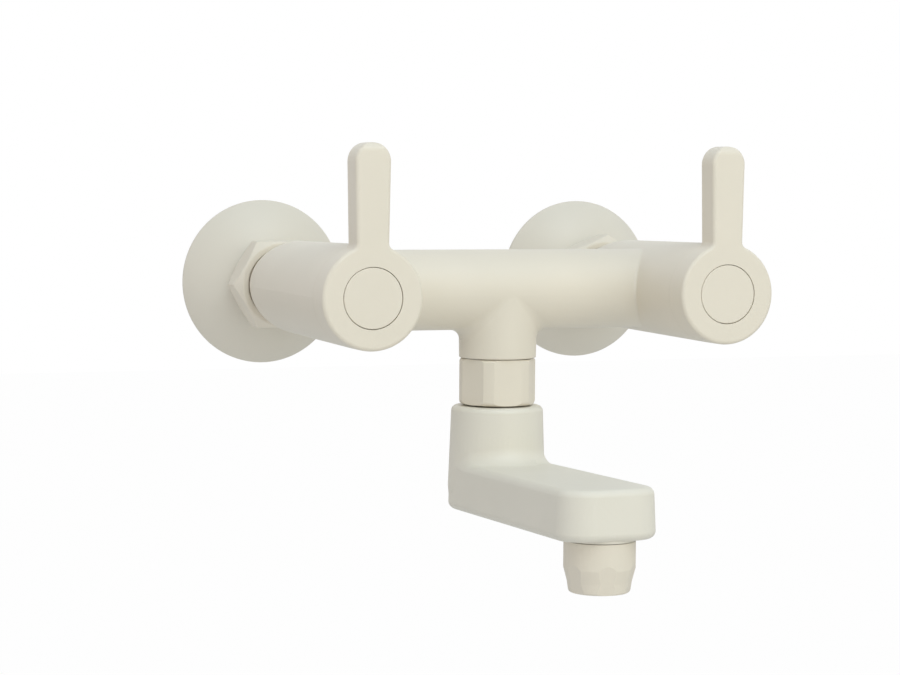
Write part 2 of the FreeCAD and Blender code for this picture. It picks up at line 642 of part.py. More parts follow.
# Wall flanges: thin domed covers, screwed along the connectors until they meet the wall
def make_wall_flange(label, side):
    body = new_body(label, side)
    turned(body, [
        (flange_radius, 0),
        (flange_radius, flange_rim),
        (union_thread + thread_gap, flange_crown),
        (union_thread + thread_gap, flange_crown - flange_wall),
        (flange_radius - flange_wall, flange_rim / 2),
        (flange_radius - flange_wall, 0),
    ], bows={1: (flange_dome, False), 3: (flange_dome - flange_wall, True)})


# Union nuts: hexagons with chamfered corners and an inward lip that pulls the nipple's collar
def make_union_nut(label, side, nut_turn):
    body = new_body(label, side, axis=FreeCAD.Vector(0, 1, 0), turn=nut_turn)
    slab(body, "XZ_Plane", nut_back, nut_front, lambda sketch: hexagon(sketch, nut_flats))
    turned(body, [
        (0, nut_front + 1),
        (0, nut_back - 1),
        (union_thread + thread_gap, nut_back - 1),
        (union_thread + thread_gap, nut_lip_back),
        (nipple_radius + free_gap, nut_lip_back),
        (nipple_radius + free_gap, nut_front + 1),
    ], cut=True)
    rim = nut_flats * 0.6
    slope = nut_chamfer * (rim - nut_land) / (nut_flats / math.sqrt(3) - nut_land)
    for end, chamfer_end in ((nut_front, nut_front - slope), (nut_back, nut_back + slope)):
        turned(body, [
            (nut_land, end),
            (rim, end),
            (rim, chamfer_end),
        ], cut=True)


# Union washers: flat rings that seal the nipple's collar against the connector
def make_union_washer(label, side):
    body = new_body(label, side)
    outer = union_thread - thread_chamfer
    turned(body, [
        (union_washer_bore, washer_back),
        (outer, washer_back),
        (outer, washer_front),
        (union_washer_bore, washer_front),
    ])


# Inlet nipples: collared tubes screwed into the barrels with an internal key
def make_inlet_nipple(label, side):
    body = new_body(label, side)
    collar = union_thread - free_gap
    turned(body, [
        (nipple_bore, collar_back),
        (collar, collar_back),
        (collar, collar_front),
        (nipple_radius, collar_front),
        (nipple_radius, nipple_front - thread_chamfer),
        (nipple_radius - thread_chamfer, nipple_front),
        (nipple_bore, nipple_front),
    ])
    key_front = collar_back + nipple_key_depth
    slab(body, "XZ_Plane", collar_back, key_front, lambda sketch: hexagon(sketch, nipple_key), cut=True)


# Mixer body: one casting of two tapered barrels, a cross tube and the outlet with its threaded spigot
def make_mixer_body():
    body = new_body("mixer_body")
    barrel = turned(body, [
        (0, barrel_back),
        (barrel_back_radius, barrel_back),
        (barrel_swell_radius, barrel_swell_front),
        (barrel_front_radius, barrel_front, edge_break),
        (0, barrel_front),
    ], bows={1: (barrel_bow, False)}, centre=inlet_spacing / 2)
    mirrored(body, barrel)
    slab(body, "YZ_Plane", left_side, right_side, lambda sketch: circle(sketch, -tube_reach, 0, tube_radius))
    turned(body, [
        (0, 0),
        (outlet_waist, 0),
        (outlet_radius, -outlet_drop, outlet_round),
        (spigot_radius, -outlet_drop),
        (spigot_radius, -spigot_bottom + thread_chamfer),
        (spigot_radius - thread_chamfer, -spigot_bottom),
        (0, -spigot_bottom),
    ], upright=True, centre=tube_reach)
    rounded(body, outlet_blend, joins_outlet)
    rounded(body, tube_blend, joins_barrel)
    bore = turned(body, [
        (0, barrel_back - 1),
        (nipple_radius + thread_gap, barrel_back - 1),
        (nipple_radius + thread_gap, nipple_front + seat_gap),
        (inlet_passage, nipple_front + seat_gap),
        (inlet_passage, valve_seat),
        (chamber_radius, valve_seat),
        (chamber_radius, head_thread_back),
        (head_thread + thread_gap, head_thread_back),
        (head_thread + thread_gap, head_seat),
        (mouth_radius, head_seat),
        (mouth_radius, barrel_front + 1),
        (0, barrel_front + 1),
    ], centre=inlet_spacing / 2, cut=True)
    mirrored(body, bore)
    slab(body, "YZ_Plane", left_side, right_side,
         lambda sketch: circle(sketch, -tube_reach, 0, tube_bore), cut=True)
    turned(body, [
        (0, 0),
        (spigot_bore, 0),
        (spigot_bore, -spigot_bottom - 1),
        (0, -spigot_bottom - 1),
    ], upright=True, centre=tube_reach, cut=True)


def joins_outlet(edge):
    """Whether an edge is the seam between cross tube and outlet."""
    box = edge.BoundBox
    below = box.ZMax < 0 and box.ZMin > -number(tube_radius) - 0.01
    return below and box.XMax < number(outlet_waist) + 2 and box.XMin > -number(outlet_waist) - 2


def joins_barrel(edge):
    """Whether an edge is a seam between cross tube and barrel."""
    box = edge.BoundBox
    nearest = min(abs(box.XMin), abs(box.XMax))
    reach = number(inlet_spacing / 2 - barrel_front_radius) - 0.5
    depth = abs(edge.CenterOfMass.y + number(tube_reach))
    return nearest > reach and box.ZMax - box.ZMin > number(tube_radius) and depth < number(tube_radius)


# Headworks: screwed valve housings with the disc chamber, side windows and the stop for the lever
def make_headwork(label, side):
    body = new_body(label, side)
    outer = chamber_radius - free_gap / 2
    turned(body, [
        (0, head_back),
        (outer, head_back),
        (outer, head_thread_back + free_gap),
        (head_thread, head_thread_back + free_gap),
        (head_thread, head_flange_back),
        (head_flange_radius, head_flange_back),
        (head_flange_radius, head_flange_front),
        (neck_radius, head_flange_front),
        (neck_radius, neck_front),
        (0, neck_front),
    ])
    slab(body, "XZ_Plane", head_flange_front, head_hex_front, lambda sketch: hexagon(sketch, head_flats))
    turned(body, [
        (crown_bore, neck_front),
        (crown_bore, crown_front),
        (neck_radius, crown_front),
        (neck_radius, neck_front),
    ], angle=180)
    turned(body, [
        (0, head_back - 1),
        (disc_bore, head_back - 1),
        (disc_bore, head_shoulder),
        (shaft_bore, head_shoulder),
        (shaft_bore, crown_front + 1),
        (0, crown_front + 1),
    ], cut=True)
    window_back = -(moving_back + free_gap)
    window_front = -(plate_back + free_gap)
    slab(body, "YZ_Plane", -chamber_radius, chamber_radius, lambda sketch: outline(sketch, [
        (window_back, -window_width / 2),
        (window_front, -window_width / 2),
        (window_front, window_width / 2),
        (window_back, window_width / 2),
    ]), cut=True)


# Bonnet rings: flat seals under the headworks' flanges
def make_bonnet_ring(label, side):
    body = new_body(label, side)
    turned(body, [
        (head_thread + free_gap / 2, bonnet_back),
        (head_flange_radius, bonnet_back),
        (head_flange_radius, bonnet_back + bonnet_ring),
        (head_thread + free_gap / 2, bonnet_back + bonnet_ring),
    ])


# Seat seals: thick rubber rings between valve seat and fixed disc
def make_seat_seal(label, side):
    body = new_body(label, side)
    turned(body, [
        (seal_bore, seal_back),
        (disc_bore - running_gap, seal_back, free_gap),
        (disc_bore - running_gap, seal_front, free_gap),
        (seal_bore, seal_front),
    ])


def port(sketch, towards):
    """A sector-shaped port of a ceramic disc, centred on an angle."""
    low = towards - disc_port_angle / 2
    high = towards + disc_port_angle / 2
    outline(sketch, [
        (disc_port_inner * cosine(low), disc_port_inner * sine(low)),
        (disc_port_outer * cosine(low), disc_port_outer * sine(low)),
        (disc_port_outer * cosine(high), disc_port_outer * sine(high)),
        (disc_port_inner * cosine(high), disc_port_inner * sine(high)),
    ], bows={1: (disc_port_outer, True), 3: (disc_port_inner, False)})


def disc_blank(body, back, towards):
    """A ceramic disc with two ports on opposite sides."""
    front = back + disc_thickness
    turned(body, [
        (0, back),
        (disc_bore - 2 * running_gap, back),
        (disc_bore - 2 * running_gap, front),
        (0, front),
    ])
    cut = slab(body, "XZ_Plane", back - 1, front, lambda sketch: port(sketch, towards), cut=True)
    repeated(body, cut, 2, "Y_Axis")


# Ceramic discs: the fixed one has its ports left and right, the moving one above and below when shut
def make_fixed_disc(label, side):
    disc_blank(new_body(label, side), fixed_back, 0)


def make_moving_disc(label, side):
    body = new_body(label, side)
    disc_blank(body, moving_back, 90)
    slot_back = moving_front - drive_slot_depth
    slab(body, "XZ_Plane", slot_back, moving_front, lambda sketch: outline(sketch, [
        (-disc_bore, -drive_slot / 2),
        (disc_bore, -drive_slot / 2),
        (disc_bore, drive_slot / 2),
        (-disc_bore, drive_slot / 2),
    ]), cut=True)


# Thrust washers: slip rings between the spindle's plate and the headwork's shoulder
def make_thrust_washer(label, side):
    body = new_body(label, side)
    turned(body, [
        (shaft_bore, thrust_back),
        (disc_bore - free_gap, thrust_back),
        (disc_bore - free_gap, thrust_front),
        (shaft_bore, thrust_front),
    ])


def spline_groove(sketch, shift):
    """A V between two splines, moved outwards by the shift."""
    reach = spline_radius + 0.5
    flank = (reach - spline_root) * tangent(50)
    outline(sketch, [
        (0, spline_root + shift),
        (flank, reach + shift),
        (-flank, reach + shift),
    ])


# Spindles: the tang turns the moving disc, the splines carry the stop ring and the lever
def make_spindle(label, side):
    body = new_body(label, side)
    ring_root = spindle_radius + running_gap - 2 * sealing_gap - 2 * spindle_ring_section
    ring_groove_front = ring_groove_back + 2 * spindle_ring_section + 4 * sealing_gap
    turned(body, [
        (0, plate_back),
        (disc_bore - free_gap, plate_back),
        (disc_bore - free_gap, plate_front),
        (spindle_radius, plate_front),
        (spindle_radius, ring_groove_back),
        (ring_root, ring_groove_back),
        (ring_root, ring_groove_front),
        (spindle_radius, ring_groove_front),
        (spindle_radius, clip_groove_back),
        (spindle_radius - clip_grip, clip_groove_back),
        (spindle_radius - clip_grip, clip_groove_front),
        (spindle_radius, clip_groove_front),
        (spindle_radius, spindle_shoulder),
        (spline_radius, spindle_shoulder),
        (spline_radius, spindle_front),
        (spindle_tap, spindle_front),
        (spindle_tap, spindle_front - spindle_tap_depth),
        (0, spindle_front - spindle_tap_depth),
    ])
    half_width = drive_slot / 2 - drive_play
    half_length = disc_bore - 3 * free_gap
    slab(body, "XZ_Plane", tang_back, plate_back + drive_plate / 2, lambda sketch: outline(sketch, [
        (-half_length, -half_width),
        (half_length, -half_width),
        (half_length, half_width),
        (-half_length, half_width),
    ]))
    groove = slab(body, "XZ_Plane", spindle_shoulder, spindle_front + 1,
                  lambda sketch: spline_groove(sketch, 0), cut=True)
    repeated(body, groove, spline_teeth, "Y_Axis")


def sealing_ring(body, outer, section, middle, upright=False):
    """A rubber ring of round section, from its outer radius and its middle."""
    centre = outer - section
    sketch = new_sketch(body, "YZ_Plane" if upright else "XY_Plane")
    circle(sketch, centre, -middle, section)
    feature = body.newObject("PartDesign::Revolution", body.Name + "_revolution")
    feature.Profile = sketch
    feature.ReferenceAxis = (sketch, ["V_Axis"])
    feature.Angle = 360
    finish(body, feature, False)


def make_spindle_seal(label, side):
    body = new_body(label, side)
    middle = ring_groove_back + spindle_ring_section + 2 * sealing_gap
    sealing_ring(body, spindle_radius + running_gap - sealing_gap, spindle_ring_section, middle)


def open_ring(body, inner, outer, low, high, opening, upright=False):
    """A flat ring with a straight opening, between two depths or, if upright, two heights."""
    turned(body, [
        (inner, low),
        (outer, low),
        (outer, high),
        (inner, high),
    ], upright=upright)
    slab(body, "XY_Plane" if upright else "XZ_Plane", low, high, lambda sketch: outline(sketch, [
        (-opening / 2, 0),
        (opening / 2, 0),
        (opening / 2, outer + 1),
        (-opening / 2, outer + 1),
    ]), cut=True)


# Spindle clips: open spring rings in the spindles' grooves, in front of the headworks' necks
def make_spindle_clip(label, side):
    body = new_body(label, side)
    inner = spindle_radius - clip_grip + running_gap
    back = clip_groove_back + seat_gap
    open_ring(body, inner, clip_radius, back, back + clip_thickness, clip_opening)


def splined_hole(body, back, front):
    """A hole that fits over the spindle's splines."""
    slab(body, "XZ_Plane", back, front,
         lambda sketch: circle(sketch, 0, 0, spline_radius + spline_gap), cut=True)
    rib = slab(body, "XZ_Plane", back, front, lambda sketch: spline_groove(sketch, spline_gap))
    repeated(body, rib, spline_teeth, "Y_Axis")


# Stop rings: the lug meets the ends of the headwork's half ring and gives the quarter turn
def make_stop_ring(label, side, shut):
    body = new_body(label, side)
    turned(body, [
        (0, stop_back),
        (stop_radius, stop_back),
        (stop_radius, stop_front),
        (0, stop_front),
    ])
    low = shut - 45 + stop_play
    high = shut + 45 - stop_play
    slab(body, "XZ_Plane", stop_back, stop_front, lambda sketch: outline(sketch, [
        (spindle_radius * cosine(low), spindle_radius * sine(low)),
        (stop_lug * cosine(low), stop_lug * sine(low)),
        (stop_lug * cosine(high), stop_lug * sine(high)),
        (spindle_radius * cosine(high), spindle_radius * sine(high)),
    ], bows={1: (stop_lug, True), 3: (spindle_radius, False)}))
    splined_hole(body, stop_back, stop_front)


# Levers: a hub over the spindle's end and a flat upright lever with a round tip, in one casting
def make_lever(label, side):
    body = new_body(label, side)
    screw_hole = spindle_tap + free_gap
    turned(body, [
        (screw_hole, web_front),
        (cap_radius + cap_gap, web_front),
        (cap_radius + cap_gap, hub_front),
        (barrel_front_radius, hub_front),
        (barrel_front_radius, hub_back),
        (lip_radius, hub_back),
        (lip_radius, hub_back - hub_lip),
        (lip_radius - hub_lip_wall, hub_back - hub_lip),
        (lip_radius - hub_lip_wall, web_back),
        (boss_radius, web_back),
        (boss_radius, boss_back),
        (screw_hole, boss_back),
    ])
    tip_radius = lever_tip_width / 2
    foot = lip_radius - hub_lip_wall + 1.2
    shoulder = lever_height - tip_radius
    lever_back = hub_front - lever_depth
    slab(body, "XZ_Plane", lever_back, hub_front, lambda sketch: outline(sketch, [
        (-lever_foot_width / 2, foot),
        (lever_foot_width / 2, foot),
        (tip_radius, shoulder),
        (0, lever_height),
        (-tip_radius, shoulder),
    ], bows={2: (lever_tip_width / 2, True), 3: (lever_tip_width / 2, True)}))
    rounded(body, lever_back_round, on_lever_back)
    rounded(body, lever_root_round, meets_hub)
    rounded(body, hub_round, on_front_rim)
    slab(body, "YZ_Plane", -lever_tip_width, lever_tip_width, lambda sketch: outline(sketch, [
        (-hub_front, lever_height - lever_tip_round),
        (lever_tip_round - hub_front, lever_height),
        (lever_tip_round - hub_front, lever_height + 1),
        (-hub_front - 1, lever_height + 1),
        (-hub_front - 1, lever_height - lever_tip_round),
    ], bows={0: (lever_tip_round, False)}), cut=True)
    splined_hole(body, boss_back, spindle_front + socket_play)


def meets_hub(edge):
    """Whether an edge is a corner between the lever's side and its hub."""
    box = edge.BoundBox
    along_depth = box.ZMax - box.ZMin < 0.3 and box.XMax - box.XMin < 0.3
    reach = math.hypot(edge.CenterOfMass.x, edge.CenterOfMass.z)
    near_hub = abs(reach - number(barrel_front_radius)) < 1
    return along_depth and near_hub and box.YMax - box.YMin > 1


def on_front_rim(edge):
    """Whether an edge lies on the front face's outer rim."""
    box = edge.BoundBox
    flat = box.YMax - box.YMin < 0.01 and abs(box.YMin + number(hub_front)) < 0.01
    return flat and box.ZMax - box.ZMin > 0.1 and max(abs(box.XMin), box.XMax, box.ZMax) > number(cap_radius) + 1


def on_lever_back(edge):
    """Whether an edge lies on the rim of the lever's back face, above the hub."""
    box = edge.BoundBox
    level = number(hub_front - lever_depth)
    flat = box.YMax - box.YMin < 0.01 and abs(box.YMin + level) < 0.01
    return flat and box.ZMin > number(barrel_front_radius - 1)


# Cover caps: pressed into the levers' recesses over the screws
def make_cover_cap(label, side):
    body = new_body(label, side)
    skirt_back = web_front + seat_gap
    turned(body, [
        (0, hub_front - cap_face),
        (0, hub_front),
        (cap_radius, hub_front, cap_round),
        (cap_radius, skirt_back),
        (cap_radius - cap_wall, skirt_back),
        (cap_radius - cap_wall, hub_front - cap_face),
    ])


# Lever screws: cheese-head socket screws that hold the levers on the spindles
def make_lever_screw(label, side):
    body = new_body(label, side)
    head_back_face = web_front + seat_gap
    shank = spindle_tap - thread_gap
    turned(body, [
        (0, head_back_face - screw_length),
        (shank, head_back_face - screw_length),
        (shank, head_back_face),
        (screw_head, head_back_face),
        (screw_head, head_back_face + screw_head_height, edge_break),
        (0, head_back_face + screw_head_height),
    ])
    socket = head_back_face + screw_head_height - screw_key_depth
    slab(body, "XZ_Plane", socket, head_back_face + screw_head_height,
         lambda sketch: hexagon(sketch, screw_key), cut=True)


# Spout nut: six flats with rounded corners, an upper thread and a lip that carries the split ring
def make_spout_nut():
    body = new_body("spout_nut", depth=tube_reach, axis=FreeCAD.Vector(0, 0, -1), turn=spout_nut_turn)
    turned(body, [
        (spigot_radius + thread_gap, -spout_nut_top),
        (spout_nut_radius - spout_nut_chamfer, -spout_nut_top),
        (spout_nut_radius, -spout_nut_top - spout_nut_chamfer),
        (spout_nut_radius, -spout_nut_bottom, spout_nut_round),
        (tail_radius + free_gap, -spout_nut_bottom),
        (tail_radius + free_gap, -spout_lip_top),
        (spigot_radius + thread_gap, -spout_lip_top),
    ], upright=True)

    def around_flats(sketch):
        circle(sketch, 0, 0, spout_nut_radius + 5)
        hexagon(sketch, spout_nut_flats)

    slab(body, "XY_Plane", -spout_nut_bottom, -spout_nut_top, around_flats, cut=True)


# Split ring: snapped into the tail's groove, it rests on the nut's lip and hangs the spout
def make_spout_split_ring():
    body = new_body("spout_split_ring", depth=tube_reach)
    inner = split_groove + running_gap
    outer = spigot_radius - free_gap
    open_ring(body, inner, outer, -split_ring_bottom, -split_ring_top, split_ring_opening, upright=True)


# Spout: a drafted post with a flat arm in one casting, and the tail that turns in the spigot
def make_spout():
    body = new_body("spout", depth=tube_reach)
    half_width = foot_radius - arm_inset
    back = arm_height * sine(arm_rise)
    slab(body, "XY_Plane", -arm_bottom, arm_height - arm_bottom, lambda sketch: outline(sketch, [
        (half_width, -back),
        (0, half_width - back),
        (-half_width, -back),
        (-half_width, -nose_reach, nose_round),
        (half_width, -nose_reach, nose_round),
    ], bows={0: (half_width, True), 1: (half_width, True)}), taper=-spout_draft, tilt=arm_rise)
    rounded(body, arm_round, on_arm_rims)
    ring_root = tail_radius + running_gap - 2 * sealing_gap - 2 * tail_ring_section
    ring_width = 2 * tail_ring_section + 4 * sealing_gap
    upper = tail_top + tail_ring_inset
    lower = upper + tail_ring_pitch
    profile = [
        (0, -post_end),
        (post_radius + draft_slope * (post_end - post_top) - post_tuck, -post_end),
        (post_radius + draft_slope * (post_merge - post_top), -post_merge),
        (post_radius, -post_top, post_round),
        (tail_radius, -post_top),
        (tail_radius, -split_ring_bottom - seat_gap),
        (split_groove, -split_ring_bottom - seat_gap),
        (split_groove, -split_ring_top + seat_gap),
        (tail_radius, -split_ring_top + seat_gap),
    ]
    for groove in (lower, upper):
        profile += [
            (tail_radius, -groove - ring_width),
            (ring_root, -groove - ring_width),
            (ring_root, -groove),
            (tail_radius, -groove),
        ]
    profile += [(tail_radius, -tail_top), (0, -tail_top)]
    turned(body, profile, upright=True)
    turned(body, [
        (0, -socket_top),
        (nozzle_boss_radius, -socket_top),
        (nozzle_boss_radius, -nozzle_boss_drop),
        (0, -nozzle_boss_drop),
    ], upright=True, centre=nozzle_reach)
    blend_post(body)
    spout_waterway(body)


def blend_post(body):
    """A hollow flare that eases the arm's top face into the front of the post."""
    sketch = new_sketch(body, "YZ_Plane")
    tilt = FreeCAD.Rotation(FreeCAD.Vector(0, 0, -1), arm_rise.number)
    sketch.AttachmentOffset = FreeCAD.Placement(FreeCAD.Vector(0, -arm_top.number, 0), tilt)
    sketch.setExpression("AttachmentOffset.Base.y", (-arm_top).text)
    sketch.setExpression("AttachmentOffset.Rotation.Angle", arm_rise.text)
    neck = post_radius + draft_slope * (arm_top - arm_blend - post_top) - blend_shift - seat_gap
    axis_line(sketch, -blend_shift)
    outline(sketch, [
        (-blend_shift, -1),
        (-blend_shift, arm_blend),
        (-blend_shift - neck, arm_blend),
        (-blend_shift - neck - arm_blend, 0),
        (-blend_shift - neck - arm_blend, -1),
    ], bows={2: (arm_blend, False)})
    feature = body.newObject("PartDesign::Revolution", body.Name + "_revolution")
    feature.Profile = sketch
    feature.ReferenceAxis = (sketch, ["Axis0"])
    feature.Angle = 360
    finish(body, feature, False)


def spout_waterway(body):
    """The bores through tail and arm, and the threaded socket for the nozzle."""
    arm_bore_level = arm_top + arm_bore_drop
    turned(body, [
        (0, -tail_top + 1),
        (post_bore, -tail_top + 1),
        (post_bore, -arm_bore_level - post_bore),
        (0, -arm_bore_level - post_bore),
    ], upright=True, cut=True)
    slab(body, "XZ_Plane", 0, nozzle_reach,
         lambda sketch: circle(sketch, 0, -arm_bore_level, arm_bore), cut=True)
    turned(body, [
        (0, -nozzle_drop),
        (nozzle_thread, -nozzle_drop),
        (nozzle_thread, -socket_top),
        (nozzle_bore, -socket_top),
        (nozzle_bore, nozzle_chamber - socket_top),
        (0, nozzle_chamber - socket_top),
    ], upright=True, centre=nozzle_reach, cut=True)


def on_arm_rims(edge):
    """Whether an edge runs round the arm's top face or its underside."""
    box = edge.BoundBox
    return box.ZMax - box.ZMin < number(arm_height) / 2


def make_tail_seal(label, step):
    body = new_body(label, depth=tube_reach)
    outer = spigot_bore - sealing_gap
    middle = tail_top + tail_ring_inset + step * tail_ring_pitch + tail_ring_section + 2 * sealing_gap
    sealing_ring(body, outer, tail_ring_section, middle, upright=True)


# Nozzle: a collar below the arm's boss, and a tapered end with six leaning wrench flats
def make_nozzle():
    body = new_body("nozzle", depth=tube_reach + nozzle_reach, axis=FreeCAD.Vector(0, 0, -1),
                    turn=nozzle_turn)
    turned(body, [
        (nozzle_bore, -nozzle_thread_top),
        (nozzle_thread - thread_gap, -nozzle_thread_top),
        (nozzle_thread - thread_gap, -nozzle_collar_top),
        (nozzle_radius, -nozzle_collar_top),
        (nozzle_radius, -nozzle_shoulder, 3 * nozzle_round),
        (nozzle_waist, -nozzle_waist_drop, 6 * nozzle_round),
        (nozzle_end_radius, -nozzle_drop, nozzle_round),
        (aerator_radius, -nozzle_drop),
        (aerator_radius, seat_gap - cage_top),
        (nozzle_bore, seat_gap - cage_top),
    ], upright=True)
    climb = nozzle_drop - nozzle_shoulder + 6
    lean = tangent(nozzle_flat_lean)
    flat = slab(body, "YZ_Plane", -nozzle_radius, nozzle_radius, lambda sketch: outline(sketch, [
        (1 * lean - nozzle_flats / 2, -nozzle_drop - 1),
        (-nozzle_flats / 2 - climb * lean, climb - nozzle_drop),
        (-nozzle_radius - 2 - climb * lean, climb - nozzle_drop),
        (-nozzle_radius - 2 - climb * lean, -nozzle_drop - 1),
    ]), cut=True)
    repeated(body, flat, 6, "Z_Axis")


def make_nozzle_washer():
    body = new_body("nozzle_washer", depth=tube_reach + nozzle_reach)
    top = socket_top + seat_gap
    turned(body, [
        (nozzle_bore, -top),
        (nozzle_thread - free_gap, -top),
        (nozzle_thread - free_gap, -top - nozzle_washer),
        (nozzle_bore, -top - nozzle_washer),
    ], upright=True)


# Aerator: a plastic cage pressed up into the nozzle, with a screen resting on its lip
def make_aerator_cage():
    body = new_body("aerator_cage", depth=tube_reach + nozzle_reach)
    outer = aerator_radius - running_gap
    turned(body, [
        (outer - aerator_wall, -cage_top),
        (outer, -cage_top),
        (outer, -cage_bottom),
        (outer - aerator_wall - aerator_lip, -cage_bottom),
        (outer - aerator_wall - aerator_lip, aerator_lip_height - cage_bottom),
        (outer - aerator_wall, aerator_lip_height - cage_bottom),
    ], upright=True)


def make_aerator_screen():
    body = new_body("aerator_screen", depth=tube_reach + nozzle_reach)
    low = aerator_lip_height + seat_gap - cage_bottom
    high = low + screen_thickness
    radius = aerator_radius - 2 * running_gap - aerator_wall
    turned(body, [
        (0, low),
        (radius, low),
        (radius, high),
        (0, high),
    ], upright=True)
    slab(body, "XY_Plane", low, high, lambda sketch: hexagon(sketch, screen_hole), cut=True)
    for circle_radius, count in ((screen_inner_circle, 6), (screen_outer_circle, 12)):
        hole = slab(body, "XY_Plane", low, high,
                    lambda sketch, reach=circle_radius: hexagon(sketch, screen_hole, across=reach), cut=True)
        repeated(body, hole, count, "Z_Axis")


for hand, side, nut_turn, shut in (
        ("left", left_side, left_nut_turn, 45),
        ("right", right_side, right_nut_turn, 135),
):
    make_wall_connector(f"{hand}_wall_connector", side)
    make_wall_flange(f"{hand}_wall_flange", side)
    make_union_nut(f"{hand}_union_nut", side, nut_turn)
    make_union_washer(f"{hand}_union_washer", side)
    make_inlet_nipple(f"{hand}_inlet_nipple", side)
    make_headwork(f"{hand}_headwork", side)
    make_bonnet_ring(f"{hand}_bonnet_ring", side)
    make_seat_seal(f"{hand}_seat_seal", side)
    make_fixed_disc(f"{hand}_fixed_disc", side)
    make_moving_disc(f"{hand}_moving_disc", side)
    make_thrust_washer(f"{hand}_thrust_washer", side)
    make_spindle(f"{hand}_spindle", side)
    make_spindle_seal(f"{hand}_spindle_seal", side)
    make_spindle_clip(f"{hand}_spindle_clip", side)
    make_stop_ring(f"{hand}_stop_ring", side, shut)
    make_lever(f"{hand}_lever", side)
    make_lever_screw(f"{hand}_lever_screw", side)
    make_cover_cap(f"{hand}_cover_cap", side)
make_mixer_body()
make_spout_nut()
make_spout_split_ring()
make_tail_seal("upper_tail_seal", 0)
make_tail_seal("lower_tail_seal", 1)
make_spout()
make_nozzle()
make_nozzle_washer()
make_aerator_cage()
make_aerator_screen()
doc.recompute()

# Every object has to be sound before anything is written
for item in doc.Objects:
    if "Invalid" in item.State or "Error" in item.State:
        raise RuntimeError(f"{item.Label} did not compute: {item.State}")
    if item.TypeId == "Sketcher::SketchObject" and item.solve() != 0:
        raise RuntimeError(f"{item.Label} does not solve")
bodies = [item for item in doc.Objects if item.TypeId == "PartDesign::Body"]
for body in bodies:
    if body.Shape.isNull() or not body.Shape.isValid() or len(body.Shape.Solids) != 1:
        raise RuntimeError(f"{body.Label} is not one sound solid")
os.makedirs("parts", exist_ok=True)
for body in bodies:
    body.Shape.exportStep(f"parts/{body.Label}.step")
    print(f"{body.Label}: {body.Shape.Volume / 1000:.3f} cm3")
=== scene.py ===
import math
import bpy
import mathutils
import numpy
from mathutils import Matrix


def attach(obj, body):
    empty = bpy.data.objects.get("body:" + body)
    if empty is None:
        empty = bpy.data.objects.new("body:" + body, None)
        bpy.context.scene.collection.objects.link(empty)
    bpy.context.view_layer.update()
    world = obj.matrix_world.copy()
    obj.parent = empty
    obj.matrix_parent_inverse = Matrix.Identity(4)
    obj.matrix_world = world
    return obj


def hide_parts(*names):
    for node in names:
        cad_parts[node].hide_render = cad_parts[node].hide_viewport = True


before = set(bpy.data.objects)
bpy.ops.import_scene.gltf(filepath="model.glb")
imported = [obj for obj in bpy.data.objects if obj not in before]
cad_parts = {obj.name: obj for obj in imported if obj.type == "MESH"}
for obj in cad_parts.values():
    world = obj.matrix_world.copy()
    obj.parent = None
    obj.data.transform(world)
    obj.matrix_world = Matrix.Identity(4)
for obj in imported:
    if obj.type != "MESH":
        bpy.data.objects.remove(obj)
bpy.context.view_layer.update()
bpy.ops.object.select_all(action="DESELECT")


# Wall connectors: two turned brass tubes with a pipe thread at each end, left bare.
# They are sealed into the elbows in the wall and carry the flange and the union nut.
class Wire:
    """One output of a node, which Python's arithmetic carries on into Math nodes."""

    def __init__(self, finish, socket):
        self.finish = finish
        self.socket = socket

    def maths(self, operation, first, second):
        return self.finish.node("ShaderNodeMath", {"operation": operation}, {0: first, 1: second})

    def __add__(self, other):
        return self.maths("ADD", self, other)

    def __radd__(self, other):
        return self.maths("ADD", other, self)

    def __sub__(self, other):
        return self.maths("SUBTRACT", self, other)

    def __rsub__(self, other):
        return self.maths("SUBTRACT", other, self)

    def __mul__(self, other):
        return self.maths("MULTIPLY", self, other)

    def __rmul__(self, other):
        return self.maths("MULTIPLY", other, self)

    def __pow__(self, other):
        return self.maths("POWER", self, other)

    def __abs__(self):
        return self.maths("ABSOLUTE", self, 0.0)


